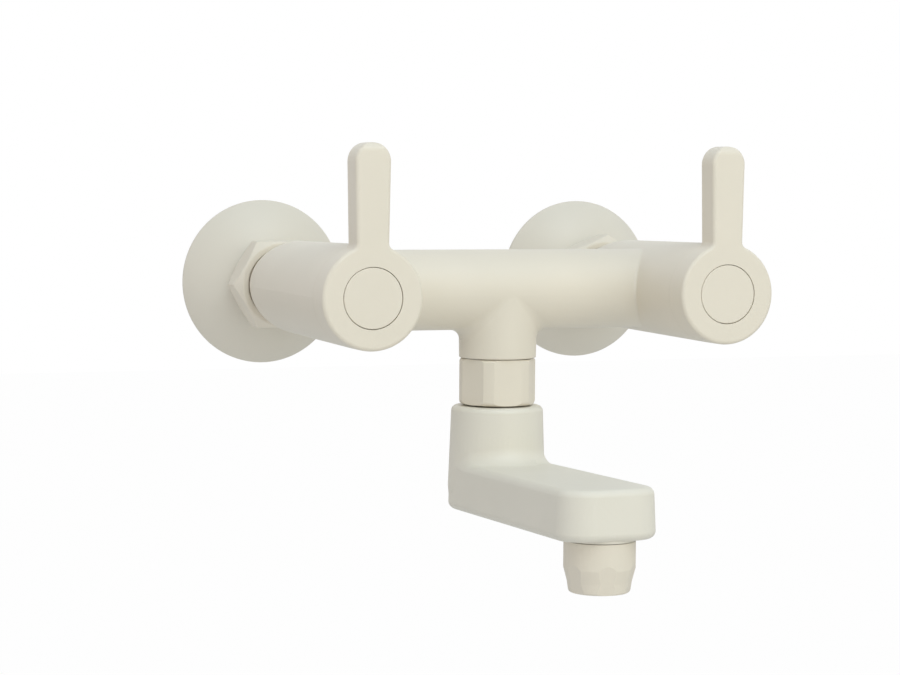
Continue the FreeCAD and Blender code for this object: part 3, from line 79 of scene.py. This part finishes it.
class Finish:
    """The nodes of one material, or of the world, under construction."""

    def __init__(self, owner):
        self.owner = owner
        owner.use_nodes = True
        self.tree = owner.node_tree
        self.tree.nodes.clear()

    def node(self, kind, settings, sockets, output=0):
        """Adds a node with its settings and its filled or linked sockets, and gives an output."""
        made = self.tree.nodes.new(kind)
        for name, value in settings.items():
            setattr(made, name, value)
        for name, value in sockets.items():
            if isinstance(value, Wire):
                self.tree.links.new(value.socket, made.inputs[name])
            else:
                made.inputs[name].default_value = value
        return Wire(self, made.outputs[output]) if made.outputs else None

    def along(self, axis):
        """How far a point lies along one axis, in metres."""
        place = self.node("ShaderNodeTexCoord", {}, {}, "Object")
        return self.node("ShaderNodeSeparateXYZ", {}, {"Vector": place}, axis)

    def noise(self, grain, detail=2.0, stretch=(1.0, 1.0, 1.0)):
        """Soft random blotches from 0 to 1, about a grain's width apart, in metres."""
        place = self.node("ShaderNodeTexCoord", {}, {}, "Object")
        where = self.node("ShaderNodeMapping", {}, {"Vector": place, "Scale": stretch})
        return self.node("ShaderNodeTexNoise", {}, {
            "Vector": where, "Scale": 1 / grain, "Detail": detail})

    def rings(self, distance, spacing):
        """The fine uneven grooves that a lathe leaves, a spacing apart in metres."""
        return self.node("ShaderNodeTexNoise", {"noise_dimensions": "1D"}, {
            "W": distance, "Scale": 1 / spacing, "Detail": 2.0})

    def fade(self, share, low, high):
        """A share that climbs softly from 0 at low to 1 at high."""
        return self.node("ShaderNodeMapRange", {"interpolation_type": "SMOOTHSTEP"}, {
            "Value": share, "From Min": low, "From Max": high})

    def mix(self, share, first, second):
        """A colour between two others."""
        return self.node("ShaderNodeMix", {"data_type": "RGBA"}, {
            0: share, 6: first, 7: second}, 2)

    def surface(self, height, depth, **sockets):
        """Closes a material: a bump of a given depth in metres, the shader and its output."""
        bumped = self.node("ShaderNodeBump", {}, {"Height": height, "Distance": depth})
        named = {name.replace("_", " "): value for name, value in sockets.items()}
        shader = self.node("ShaderNodeBsdfPrincipled", {}, {"Normal": bumped, **named})
        self.node("ShaderNodeOutputMaterial", {}, {"Surface": shader})
        return self.owner


inlet_offset = 0.075
bright_brass = (0.80, 0.58, 0.29, 1)
dull_brass = (0.45, 0.30, 0.13, 1)
tool_mark_depth = 0.00004


def turned_brass(name, groove, dullness):
    """Bare brass turned about an inlet's axis: lathe rings, soft tarnish and small stains."""
    finish = Finish(bpy.data.materials.new(name))
    across = abs(finish.along("X")) - inlet_offset
    up = finish.along("Z")
    reach = (across * across + up * up) ** 0.5
    rings = finish.rings(reach + finish.along("Y"), groove)
    tarnish = finish.fade(finish.noise(0.008, 4.0), 0.42, 0.72)
    stains = finish.fade(finish.noise(0.0012, 3.0), 0.60, 0.75)
    share = dullness * tarnish + 0.25 * stains
    return finish.surface(
        rings + 0.4 * stains, tool_mark_depth,
        Base_Color=finish.mix(share, bright_brass, dull_brass),
        Metallic=1.0,
        Roughness=0.24 + 0.10 * rings + 0.25 * share,
    )


connector_brass = turned_brass("connector_brass", 0.00035, 0.55)
connector_bore = 0.0065
connector_key = 0.013
key_length = 0.009
wall_thread = 0.01048
union_thread = 0.01322
stud_end = 0.015
shoulder = -0.003
connector_front = -0.02655
edge_break = 0.0003
ring_facets = 96
merge_distance = 0.00001
thread_pitch = 0.001814
thread_height = 0.00116
thread_steps = 72
ridge_sink = 0.0001
ridge_crown = 0.0003
ridge_foot = 0.94 * thread_pitch
blank_wall = 0.0008


def selected_alone(piece):
    """Makes a piece the only one that the operators act on."""
    bpy.ops.object.select_all(action="DESELECT")
    piece.select_set(True)
    bpy.context.view_layer.objects.active = piece


def turned(name, across, corners):
    """A closed ring about an inlet's axis, drawn out from a circle through (radius, y) corners."""
    bpy.ops.object.select_all(action="DESELECT")
    radius, place = corners[0]
    bpy.ops.mesh.primitive_circle_add(
        vertices=ring_facets, radius=radius, location=(across, place, 0),
        rotation=(math.pi / 2, 0, 0))
    piece = bpy.context.object
    piece.name = name
    bpy.ops.object.transform_apply(location=True, rotation=True, scale=True)
    bpy.ops.object.mode_set(mode="EDIT")
    bpy.ops.mesh.select_all(action="SELECT")
    for next_radius, next_place in corners[1:] + corners[:1]:
        bpy.ops.mesh.extrude_edges_move(
            TRANSFORM_OT_translate={"value": (0, next_place - place, 0)})
        scale = next_radius / radius
        bpy.ops.transform.resize(value=(scale, 1, scale), center_override=(across, next_place, 0))
        radius, place = next_radius, next_place
    bpy.ops.mesh.select_all(action="SELECT")
    bpy.ops.mesh.remove_doubles(threshold=merge_distance)
    bpy.ops.mesh.normals_make_consistent(inside=False)
    bpy.ops.object.mode_set(mode="OBJECT")
    return piece


def combined(piece, tool, operation):
    """Cuts a piece with another, or keeps what both share, and uses the other up."""
    step = piece.modifiers.new(operation.lower(), "BOOLEAN")
    step.operation = operation
    step.solver = "EXACT"
    step.object = tool
    selected_alone(piece)
    bpy.ops.object.modifier_apply(modifier=step.name)
    bpy.data.objects.remove(tool)


def screw_thread(name, across, crest, back, front):
    """One helical ridge from back to front, cut off square and with a lead-in at both ends."""
    root = crest - thread_height
    rise = ridge_sink + thread_height + ridge_crown
    bpy.ops.object.select_all(action="DESELECT")
    bpy.ops.mesh.primitive_circle_add(vertices=3, radius=1, rotation=(0, 0, -math.pi / 2))
    ridge = bpy.context.object
    ridge.name = name
    bpy.ops.object.transform_apply(rotation=True)
    bpy.ops.object.mode_set(mode="EDIT")
    bpy.ops.mesh.select_all(action="SELECT")
    bpy.ops.transform.resize(
        value=(rise / 1.5, ridge_foot / math.sqrt(3), 1), center_override=(0, 0, 0))
    bpy.ops.transform.translate(value=(root - ridge_sink + rise / 3, front - thread_pitch, 0))
    bpy.ops.object.mode_set(mode="OBJECT")
    wind = ridge.modifiers.new("wind", "SCREW")
    wind.axis = "Y"
    wind.screw_offset = thread_pitch
    wind.iterations = math.ceil((back - front) / thread_pitch) + 2
    wind.steps = thread_steps
    wind.render_steps = thread_steps
    wind.use_merge_vertices = False
    selected_alone(ridge)
    bpy.ops.object.modifier_apply(modifier=wind.name)
    bpy.ops.object.mode_set(mode="EDIT")
    bpy.ops.mesh.select_all(action="SELECT")
    bpy.ops.mesh.remove_doubles(threshold=merge_distance)
    bpy.ops.mesh.fill_holes(sides=3)
    bpy.ops.mesh.normals_make_consistent(inside=False)
    bpy.ops.transform.translate(value=(across, 0, 0))
    bpy.ops.object.mode_set(mode="OBJECT")
    lead_in = 0.9 * thread_height
    blank = turned(name + "_blank", across, [
        (root - blank_wall, front),
        (crest - lead_in, front),
        (crest, front + lead_in),
        (crest, back - lead_in),
        (crest - lead_in, back),
        (root - blank_wall, back),
    ])
    combined(ridge, blank, "INTERSECT")
    return ridge


wall_root = wall_thread - thread_height
union_root = union_thread - thread_height
for hand, across in (("left", -inlet_offset), ("right", inlet_offset)):
    connector = turned(f"{hand}_connector_tube", across, [
        (connector_bore, stud_end),
        (wall_root - edge_break, stud_end),
        (wall_root, stud_end - edge_break),
        (wall_root, shoulder),
        (union_root, shoulder),
        (union_root, connector_front + edge_break),
        (union_root - edge_break, connector_front),
        (connector_bore, connector_front),
    ])
    bpy.ops.object.select_all(action="DESELECT")
    bpy.ops.mesh.primitive_cylinder_add(
        vertices=6, radius=connector_key / math.sqrt(3), depth=2 * key_length,
        location=(across, connector_front, 0), rotation=(math.pi / 2, 0, 0))
    combined(connector, bpy.context.object, "DIFFERENCE")
    threads = (
        screw_thread("wall_ridge", across, wall_thread, stud_end, shoulder),
        screw_thread("union_ridge", across, union_thread, shoulder, connector_front),
    )
    selected_alone(connector)
    for ridge in threads:
        ridge.select_set(True)
    bpy.ops.object.join()
    bpy.ops.object.shade_smooth_by_angle(angle=math.radians(35))
    connector.data.materials.clear()
    connector.data.materials.append(connector_brass)
    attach(connector, "mixer")
    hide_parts(f"{hand}_wall_connector")


# Wall flanges: thin domed covers, pressed from brass sheet and powder coated ivory.
# Each is screwed forward along its connector until its rim meets the wall.
pale_ivory = (0.788, 0.727, 0.613, 1)
deep_ivory = (0.770, 0.711, 0.597, 1)
speck_ivory = (0.62, 0.57, 0.46, 1)
coat_relief = 0.000025


def ivory_coat(name, pale=pale_ivory, deep=deep_ivory):
    """Baked ivory powder coat: even and satin-matt, with a faint orange peel and a fine grain."""
    finish = Finish(bpy.data.materials.new(name))
    clouds = finish.fade(finish.noise(0.035, 2.0), 0.30, 0.70)
    peel = finish.noise(0.0011, 3.0)
    grain = finish.noise(0.00022, 1.0)
    specks = finish.fade(finish.noise(0.0005, 1.0), 0.70, 0.78)
    even = finish.mix(clouds, pale, deep)
    return finish.surface(
        peel + 0.25 * grain, coat_relief,
        Base_Color=finish.mix(0.10 * specks, even, speck_ivory),
        Roughness=0.40 + 0.06 * peel + 0.05 * grain,
    )


def dress(material, *names):
    """Gives pieces of the frame their material."""
    for name in names:
        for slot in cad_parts[name].material_slots:
            slot.material = material


def both(name):
    """The left-hand and the right-hand piece of a pair."""
    return f"left_{name}", f"right_{name}"


# The flanges' coat is a darker, greyer copy of the ivory: painted shade for the flanges, which lie
# back behind the barrels and nuts.
shaded_flange_pale = (0.735, 0.690, 0.593, 1)
shaded_flange_deep = (0.719, 0.675, 0.579, 1)
dress(ivory_coat("shaded_flange_coat", shaded_flange_pale, shaded_flange_deep), *both("wall_flange"))


# Union nuts and their washers: brass hexagons over rubber rings, powder coated with the rest.
# Screwed onto the connectors, they pull the barrels' inlets up to the wall. The thick coat
# softens their edges, and a groove in front leaves a thin dark line beside the barrel.
def black_rubber(name):
    """Moulded black rubber with a dull bloom."""
    finish = Finish(bpy.data.materials.new(name))
    grain = finish.noise(0.0003, 3.0)
    bloom = finish.fade(finish.noise(0.003, 3.0), 0.45, 0.75)
    return finish.surface(
        grain, 0.00003,
        Base_Color=finish.mix(0.5 * bloom, (0.018, 0.018, 0.019, 1), (0.055, 0.055, 0.056, 1)),
        Roughness=0.55 + 0.25 * bloom + 0.08 * grain,
    )


def softened(piece, grain, rounds):
    """Rounds a piece's edges as a thick coat does, over a fine even mesh."""
    even = piece.modifiers.new("even", "REMESH")
    even.mode = "VOXEL"
    even.voxel_size = grain
    smooth = piece.modifiers.new("smooth", "SMOOTH")
    smooth.factor = 0.5
    smooth.iterations = rounds
    selected_alone(piece)
    bpy.ops.object.modifier_apply(modifier=even.name)
    bpy.ops.object.modifier_apply(modifier=smooth.name)
    bpy.ops.object.shade_smooth()


seal_rubber = black_rubber("seal_rubber")
nut_coat = ivory_coat("nut_coat")
coat_grain = 0.0003
coat_rounds = 6
nut_flats = 0.0369
nut_rim = 0.0219
nut_land = 0.0177
nut_slope = 0.0037
back_land = 0.0172
back_slope = 0.0052
nut_back = -0.0180
nut_front = -0.0335
nut_thread = 0.01327
lip_back = -0.0305
lip_hole = 0.0110
seat_radius = 0.01495
seat_floor = -0.0315
hexagon_depth = 0.02
for hand, across, turn in (("left", -inlet_offset, 0.5), ("right", inlet_offset, 22.0)):
    nut = turned(f"{hand}_nut_hexagon", across, [
        (nut_thread, nut_back),
        (back_land, nut_back),
        (nut_rim, nut_back - back_slope),
        (nut_rim, nut_front + nut_slope),
        (nut_land, nut_front),
        (seat_radius, nut_front),
        (seat_radius, seat_floor),
        (lip_hole, seat_floor),
        (lip_hole, lip_back),
        (nut_thread, lip_back),
    ])
    bpy.ops.object.select_all(action="DESELECT")
    bpy.ops.mesh.primitive_cylinder_add(
        vertices=6, radius=nut_flats / math.sqrt(3), depth=hexagon_depth,
        location=(across, (nut_back + nut_front) / 2, 0),
        rotation=(math.pi / 2, math.radians(30 - turn), 0))
    combined(nut, bpy.context.object, "INTERSECT")
    softened(nut, coat_grain, coat_rounds)
    nut.data.materials.clear()
    nut.data.materials.append(nut_coat)
    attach(nut, "mixer")
    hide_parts(f"{hand}_union_nut")
dress(seal_rubber, *both("union_washer"))


# Inlet nipples: short brass tubes with a collar, turned from bar.
# Each is screwed into the back of its barrel with a key and held by the union nut.
nipple_brass = turned_brass("nipple_brass", 0.0003, 0.35)
dress(nipple_brass, *both("inlet_nipple"))


# Mixer body: one brass casting of two tapered barrels, a cross tube and an outlet branch.
# It is ground and blasted, then powder coated ivory all over except its threads and seats.
dress(ivory_coat("body_coat"), "mixer_body")


# Headworks: quarter-turn valves in machined brass, screwed into the barrels against a rubber ring.
# Each holds the discs at its back and stops the lever with the half ring on its neck.
dress(turned_brass("headwork_brass", 0.0002, 0.15), *both("headwork"))
dress(seal_rubber, *both("bonnet_ring"), *both("seat_seal"))


# Ceramic discs: pressed, fired and lapped so flat that they seal face to face.
# The fixed one is keyed by its seal, and the moving one is turned by the spindle's tang.
def lapped_ceramic(name):
    """Fired off-white ceramic with faint grey clouds and a lapped sheen."""
    finish = Finish(bpy.data.materials.new(name))
    clouds = finish.noise(0.002, 4.0)
    grain = finish.noise(0.0001, 2.0)
    return finish.surface(
        grain, 0.000004,
        Base_Color=finish.mix(clouds, (0.84, 0.83, 0.79, 1), (0.76, 0.76, 0.73, 1)),
        Roughness=0.12 + 0.10 * clouds,
    )


dress(lapped_ceramic("lapped_ceramic"), *both("fixed_disc"), *both("moving_disc"))


# Thrust washers: thin rings of slippery plastic between the spindle's plate and the headwork.
# They let the lever turn smoothly under the water's push.
def slip_plastic(name, pale, deep):
    """Moulded acetal: a waxy, even plastic with a fine spark-eroded texture."""
    finish = Finish(bpy.data.materials.new(name))
    texture = finish.noise(0.00018, 2.0)
    flow = finish.noise(0.004, 2.0, (1.0, 1.0, 0.3))
    return finish.surface(
        texture, 0.000012,
        Base_Color=finish.mix(flow, pale, deep),
        Roughness=0.42 + 0.12 * texture,
    )


thrust_pale = (0.66, 0.66, 0.63, 1)
thrust_deep = (0.60, 0.60, 0.57, 1)
dress(slip_plastic("thrust_plastic", thrust_pale, thrust_deep), *both("thrust_washer"))


# Spindles: brass shafts with a plate and tang at the back and 24 splines at the front.
# Each runs in its headwork with a rubber ring, held by a spring clip, and carries the
# brass ring that stops the lever.
def spring_steel(name):
    """Stainless steel with the short scratches of tumbling."""
    finish = Finish(bpy.data.materials.new(name))
    scratches = finish.noise(0.0006, 4.0, (1.0, 0.15, 1.0))
    cloud = finish.noise(0.003, 2.0)
    return finish.surface(
        scratches, 0.00001,
        Base_Color=finish.mix(cloud, (0.60, 0.60, 0.59, 1), (0.50, 0.50, 0.50, 1)),
        Metallic=1.0,
        Roughness=0.25 + 0.18 * scratches,
    )


steel = spring_steel("spring_steel")
dress(turned_brass("spindle_brass", 0.00015, 0.08), *both("spindle"), *both("stop_ring"))
dress(seal_rubber, *both("spindle_seal"))
dress(steel, *both("spindle_clip"))


# Levers: upright brass castings with a round hub, softened at every edge and powder coated.
# A splined hole under each hub slides onto its spindle, and a screw holds it there.
dress(ivory_coat("lever_coat"), *both("lever"))


# Lever screws and cover caps: a steel socket screw in each hub, hidden by a coated disc.
# The disc is pushed into the hub's recess and leaves a thin dark ring around it.
dress(steel, *both("lever_screw"))
dress(ivory_coat("cap_coat"), *both("cover_cap"))


# Spout nut, split ring and tail seals: a coated hexagon with rounded corners under the outlet.
# Its lip carries the plastic split ring in the tail's groove, and two rubber rings seal the tail.
dress(ivory_coat("spout_nut_coat"), "spout_nut")
ring_pale = (0.66, 0.66, 0.64, 1)
ring_deep = (0.58, 0.58, 0.56, 1)
dress(slip_plastic("ring_plastic", ring_pale, ring_deep), "spout_split_ring")
dress(seal_rubber, "upper_tail_seal", "lower_tail_seal")


# Spout: a drafted post and a flat arm cast as one piece, ground smooth and powder coated.
# It turns in the outlet's spigot, and its waterway ends in the threaded socket for the nozzle.
# The hollow where the arm runs into the post is ground right across, on a finely cut copy.
swivel_depth = -0.093
post_top = -0.0481
post_radius = 0.019
draft = math.tan(math.radians(2.1))
arm_rise = math.radians(1.43)
arm_floor = -0.09114
arm_height = 0.0195
arm_round = 0.003
arm_back = arm_height * math.sin(arm_rise)
arm_inset = 0.00035
half_width = post_radius + draft * (post_top - arm_floor) - arm_inset
front_hollow = 0.0071
side_hollow = 0.0043
low_corner = (-0.022, -0.140, -0.079)
high_corner = (0.022, -0.086, -0.060)
cut_spacing = 0.001
facet_error = 0.00002
nudge = 0.000002
least_slope = 0.2
pulls = 12
spout_pale = (0.776, 0.741, 0.647, 1)
spout_deep = (0.758, 0.725, 0.630, 1)


def outside_post(place):
    """How far points lie outside the tapered post."""
    x, y, z = place.T
    radius = post_radius + draft * (post_top - z)
    return (numpy.hypot(x, y - swivel_depth) - radius) / math.hypot(1, draft)


def outside_arm(place):
    """How far points lie above the arm's top face, and outside its sides."""
    x, y, z = place.T
    out, up = swivel_depth - y, z - arm_floor
    height = up * math.cos(arm_rise) - out * math.sin(arm_rise)
    back = arm_back - out * math.cos(arm_rise) - up * math.sin(arm_rise)
    width = half_width - draft * height
    return height - arm_height, numpy.hypot(x, numpy.maximum(back, 0)) - width


def rounded_edge(first, second, radius):
    """How far points lie outside two faces with their shared edge rounded."""
    corner = numpy.hypot(numpy.maximum(first + radius, 0), numpy.maximum(second + radius, 0))
    return numpy.minimum(numpy.maximum(first, second), -radius) + corner


def hollow_corner(first, second, radius):
    """How far points lie outside two faces with a hollow rolled into their corner."""
    dip = numpy.hypot(numpy.maximum(radius - first, 0), numpy.maximum(radius - second, 0))
    return numpy.maximum(numpy.minimum(first, second), radius) - dip


def outside_spout(place, hollowed):
    """How far points lie outside the spout, its corner between post and arm hollow or sharp."""
    post = outside_post(place)
    top, sides = outside_arm(place)
    if hollowed:
        aside = (place[:, 0] / post_radius) ** 2
        top = hollow_corner(post, top, front_hollow + (side_hollow - front_hollow) * aside)
    return numpy.minimum(post, rounded_edge(top, sides, arm_round))


def hollow_slopes(place):
    """How steeply that measure climbs along X, Y and Z at points of the hollowed spout."""
    return numpy.stack([
        outside_spout(place + nudge * side, True) - outside_spout(place - nudge * side, True)
        for side in numpy.eye(3)], axis=1) / (2 * nudge)


spout = bpy.data.objects.new("spout_casting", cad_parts["spout"].data.copy())
bpy.context.scene.collection.objects.link(spout)
selected_alone(spout)
bpy.ops.object.mode_set(mode="EDIT")
bpy.ops.mesh.customdata_custom_splitnormals_clear()
bpy.ops.mesh.select_all(action="SELECT")
bpy.ops.mesh.remove_doubles(threshold=0.000001)
for axis in range(3):
    facing = [float(axis == other) for other in range(3)]
    for corner in (low_corner, high_corner):
        bpy.ops.mesh.select_all(action="SELECT")
        bpy.ops.mesh.bisect(plane_co=corner, plane_no=facing)
bpy.ops.object.mode_set(mode="OBJECT")
for face in spout.data.polygons:
    face.select = all(
        low <= at <= high for low, at, high in zip(low_corner, face.center, high_corner))
bpy.ops.object.mode_set(mode="EDIT")
bpy.ops.mesh.select_mode(type="FACE")
bpy.ops.mesh.hide(unselected=True)
for axis in range(3):
    facing = [float(axis == other) for other in range(3)]
    reach = high_corner[axis] - low_corner[axis]
    for step in range(1, round(reach / cut_spacing)):
        cut = [corner + step * cut_spacing for corner in low_corner]
        bpy.ops.mesh.select_all(action="SELECT")
        bpy.ops.mesh.bisect(plane_co=cut, plane_no=facing)
bpy.ops.mesh.reveal()
bpy.ops.mesh.select_all(action="SELECT")
bpy.ops.mesh.quads_convert_to_tris()
bpy.ops.object.mode_set(mode="OBJECT")
places = numpy.zeros(3 * len(spout.data.vertices))
spout.data.vertices.foreach_get("co", places)
places = places.reshape(-1, 3)
near = numpy.all((places >= low_corner) & (places <= high_corner), axis=1)
moved = places[near]
kept_level = numpy.clip(outside_spout(moved, False), -facet_error, facet_error)
for _ in range(pulls):
    slopes = hollow_slopes(moved)
    steepness = numpy.maximum((slopes ** 2).sum(axis=1), least_slope)
    excess = (outside_spout(moved, True) - kept_level) / steepness
    moved = moved - excess[:, None] * slopes
places[near] = moved
spout.data.vertices.foreach_set("co", places.ravel())
spout.data.update()
selected_alone(spout)
bpy.ops.object.shade_smooth_by_angle(angle=math.radians(30))
even_light = spout.modifiers.new("even_light", "WEIGHTED_NORMAL")
even_light.keep_sharp = True
bpy.ops.object.modifier_apply(modifier=even_light.name)
spout.data.materials.clear()
spout.data.materials.append(ivory_coat("spout_coat", spout_pale, spout_deep))
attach(spout, "swivel_spout")
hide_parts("spout")


# Nozzle, its washer and the aerator: a coated brass end with six leaning wrench flats.
# It is screwed up into the nose and holds a grey plastic cage with a pierced screen.
dress(ivory_coat("nozzle_coat"), "nozzle")
dress(seal_rubber, "nozzle_washer")
cage_pale = (0.50, 0.51, 0.51, 1)
cage_deep = (0.44, 0.45, 0.45, 1)
screen_pale = (0.42, 0.43, 0.44, 1)
screen_deep = (0.36, 0.37, 0.38, 1)
dress(slip_plastic("cage_plastic", cage_pale, cage_deep), "aerator_cage")
dress(slip_plastic("screen_plastic", screen_pale, screen_deep), "aerator_screen")


# Floor and surroundings: a plain pale floor well below the mixer, in a white room.
# What the camera and reflections see is white, and the light that falls on the mixer is soft.
floor_depth = 0.62
floor_size = 14
floor_grey = (0.86, 0.86, 0.86, 1)
white = (1, 1, 1, 1)
seen_white = 0.98
bpy.ops.mesh.primitive_plane_add(size=floor_size, location=(0, 0, -floor_depth))
floor = bpy.context.object
floor.name = "floor"
floor_paint = Finish(bpy.data.materials.new("floor_paint"))
seen = floor_paint.node("ShaderNodeLightPath", {}, {}, "Is Camera Ray")
matt = floor_paint.node("ShaderNodeBsdfDiffuse", {}, {"Color": floor_grey})
glow = floor_paint.node("ShaderNodeEmission", {}, {"Color": white, "Strength": 1.0})
lit = floor_paint.node("ShaderNodeMixShader", {}, {0: seen_white * seen, 1: matt, 2: glow})
floor_paint.node("ShaderNodeOutputMaterial", {}, {"Surface": lit})
floor.data.materials.append(floor_paint.owner)

sky_colour = (0.975, 0.99, 1, 1)
sky_strength = 0.567
room = bpy.data.worlds.new("white_room")
bpy.context.scene.world = room
walls = Finish(room)
directly = walls.node("ShaderNodeLightPath", {}, {}, "Is Camera Ray")
mirrored = walls.node("ShaderNodeLightPath", {}, {}, "Is Glossy Ray")
through = walls.node("ShaderNodeLightPath", {}, {}, "Is Transmission Ray")
indirectly = walls.node("ShaderNodeMath", {"operation": "MAXIMUM"}, {0: mirrored, 1: through})
looked_at = walls.node("ShaderNodeMath", {"operation": "MAXIMUM"}, {0: directly, 1: indirectly})
dim = walls.node("ShaderNodeBackground", {}, {"Color": sky_colour, "Strength": sky_strength})
bright = walls.node("ShaderNodeBackground", {}, {"Color": white, "Strength": 1.0})
shown = walls.node("ShaderNodeMixShader", {}, {0: looked_at, 1: dim, 2: bright})
walls.node("ShaderNodeOutputWorld", {}, {"Surface": shown})

middle = mathutils.Vector((0.0, -0.10, -0.02))
lamp_width = 1.2


def lamp(name, place, power, colour):
    """A large soft square lamp that faces the mixer."""
    bpy.ops.object.light_add(type="AREA", location=place)
    made = bpy.context.object
    made.name = name
    made.rotation_euler = (middle - made.location).to_track_quat("-Z", "Y").to_euler()
    made.data.size = lamp_width
    made.data.energy = power
    made.data.color = colour


lamp("front_lamp", (0.50, -1.60, 0.35), 4.5, (1.0, 0.96, 0.76))
lamp("high_lamp", (0.0, -1.30, 1.30), 9.9, (0.92, 0.98, 1.0))
lamp("top_lamp", (0.10, -0.60, 1.50), 2.85, (0.21, 0.60, 1.0))
lamp("left_lamp", (-1.50, -0.70, 0.30), 1.9, (1.0, 0.87, 0.82))


# Camera: a long lens at the photograph's viewing angle.
# It stands about a metre away, a little above the barrels and to their left.
bpy.ops.object.camera_add(location=(-0.3636, -1.0102, 0.0456), rotation=(
    math.radians(86.1851), math.radians(-0.3888), math.radians(-20.4523)))
camera = bpy.context.object
camera.name = "camera"
camera.data.sensor_width = 36.0
camera.data.lens = 95.332
camera.data.clip_start = 0.05
camera.data.clip_end = 40.0
bpy.context.scene.camera = camera
bpy.context.scene.view_settings.view_transform = "Standard"
